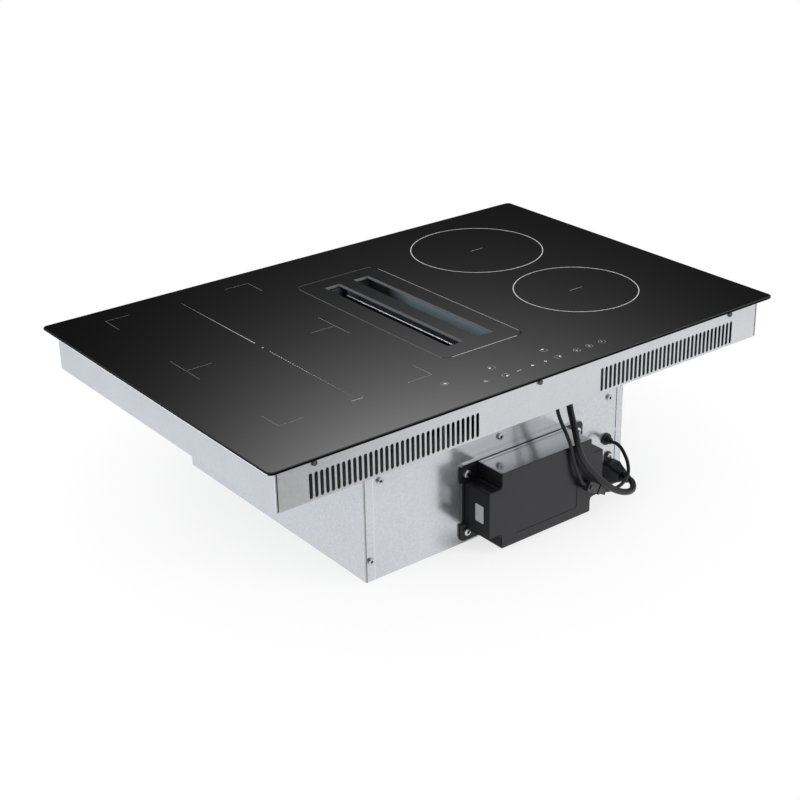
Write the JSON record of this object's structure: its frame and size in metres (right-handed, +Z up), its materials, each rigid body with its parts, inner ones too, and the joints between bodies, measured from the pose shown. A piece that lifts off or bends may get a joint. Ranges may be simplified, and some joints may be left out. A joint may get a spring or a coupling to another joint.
{
  "type": "downdraft induction cooktop",
  "caption": "Built-in induction hob: black glass top over a slotted sheet-metal pan, with a slotted vent in its middle and an extractor housing with a blower below.",
  "frame": {"origin": "centre of the glass top in plan, at the underside of the extractor housing", "axes": "+X to the user's right along the long side of the glass, +Y to the back, +Z up to the cooking surface"},
  "size_m": [0.78, 0.5295, 0.222],
  "materials": {
    "black_glass": "polished black glass-ceramic",
    "seal_foam": "closed-cell foam tape",
    "silicone": "cured bead",
    "galvanised_sheet": "galvanised sheet steel",
    "bright_steel": "bright stainless steel",
    "aluminium": "mill finish",
    "copper_winding": "enamelled copper litz",
    "stator_iron": "laminations and windings",
    "circuit_board": "solder-mask green",
    "white_plastic": "moulded",
    "grey_plastic": "moulded",
    "black_plastic": "moulded, satin to glossy",
    "black_rubber": "soft moulded"
  },
  "bodies": {
    "hob": {"glass_top": "black_glass", "rim_seal": "seal_foam", "glass_frame": "galvanised_sheet", "frame_bond": "silicone", "well_duct": "galvanised_sheet", "well_bond": "silicone", "drip_tray": "grey_plastic", "pan": "galvanised_sheet", "coil_rear_left": "copper_winding", "coil_carrier_rear_left": "white_plastic", "coil_front_left": "copper_winding", "coil_carrier_front_left": "white_plastic", "coil_rear_right": "copper_winding", "coil_carrier_rear_right": "white_plastic", "coil_front_right": "copper_winding", "coil_carrier_front_right": "white_plastic", "coil_screen_left": "aluminium", "coil_screen_right": "aluminium", "power_board_left": "circuit_board", "power_board_right": "circuit_board", "heat_sink_left": "aluminium", "heat_sink_right": "aluminium", "cooling_fan_frame_left": "black_plastic", "cooling_fan_frame_right": "black_plastic", "touch_board": "circuit_board", "touch_carrier": "grey_plastic", "mains_gland": "black_plastic", "terminal_block": "white_plastic", "housing_shell": "galvanised_sheet", "housing_front_plate": "galvanised_sheet", "scroll_base": "grey_plastic", "scroll_lid": "grey_plastic", "motor_stator": "stator_iron", "lower_bearing": "bright_steel", "upper_bearing": "bright_steel", "outlet_duct": "grey_plastic", "outlet_collar": "black_plastic", "control_box_base": "black_plastic", "control_box_cover": "black_plastic", "control_board": "circuit_board", "supply_socket": "black_plastic", "lead_plug": "black_rubber", "housing_grommet": "black_rubber", "supply_grommet": "black_rubber", "signal_grommet": "black_rubber", "supply_lead": "black_rubber", "signal_lead": "black_rubber", "housing_lead": "black_rubber", "connector_socket": "black_plastic", "connector_tab": "black_plastic"},
    "vent_cover": {"vent_cover": "black_glass", "cover_cushion": "silicone"},
    "grease_filter": {"filter_frame": "bright_steel", "filter_mesh": "aluminium", "filter_handle": "bright_steel"},
    "blower_rotor": {"blower_wheel": "black_plastic", "rotor_cup": "bright_steel", "blower_shaft": "bright_steel"},
    "left_fan": {"cooling_fan_left": "black_plastic"},
    "right_fan": {"cooling_fan_right": "black_plastic"}
  },
  "joints": [
    {"name": "cover_lift", "type": "slide", "parent": "hob", "child": "vent_cover", "axis": [0, 0, 1], "range_m": [0, 0.16]},
    {"name": "filter_lift", "type": "slide", "parent": "hob", "child": "grease_filter", "axis": [0, 0, 1], "range_m": [0, 0.08]},
    {"name": "blower_spin", "type": "hinge", "parent": "hob", "child": "blower_rotor", "pos_m": [-0.124, -0.052, 0.04], "axis": [0, 0, 1], "continuous": true},
    {"name": "left_fan_spin", "type": "hinge", "parent": "hob", "child": "left_fan", "pos_m": [-0.297, 0.112, 0.177], "axis": [0, 0, 1], "continuous": true},
    {"name": "right_fan_spin", "type": "hinge", "parent": "hob", "child": "right_fan", "pos_m": [0.297, 0.112, 0.177], "axis": [0, 0, 1], "continuous": true}
  ],
  "couplings": [
    {"joint": "filter_lift", "follows": "cover_lift", "ratio": 0.5}
  ]
}
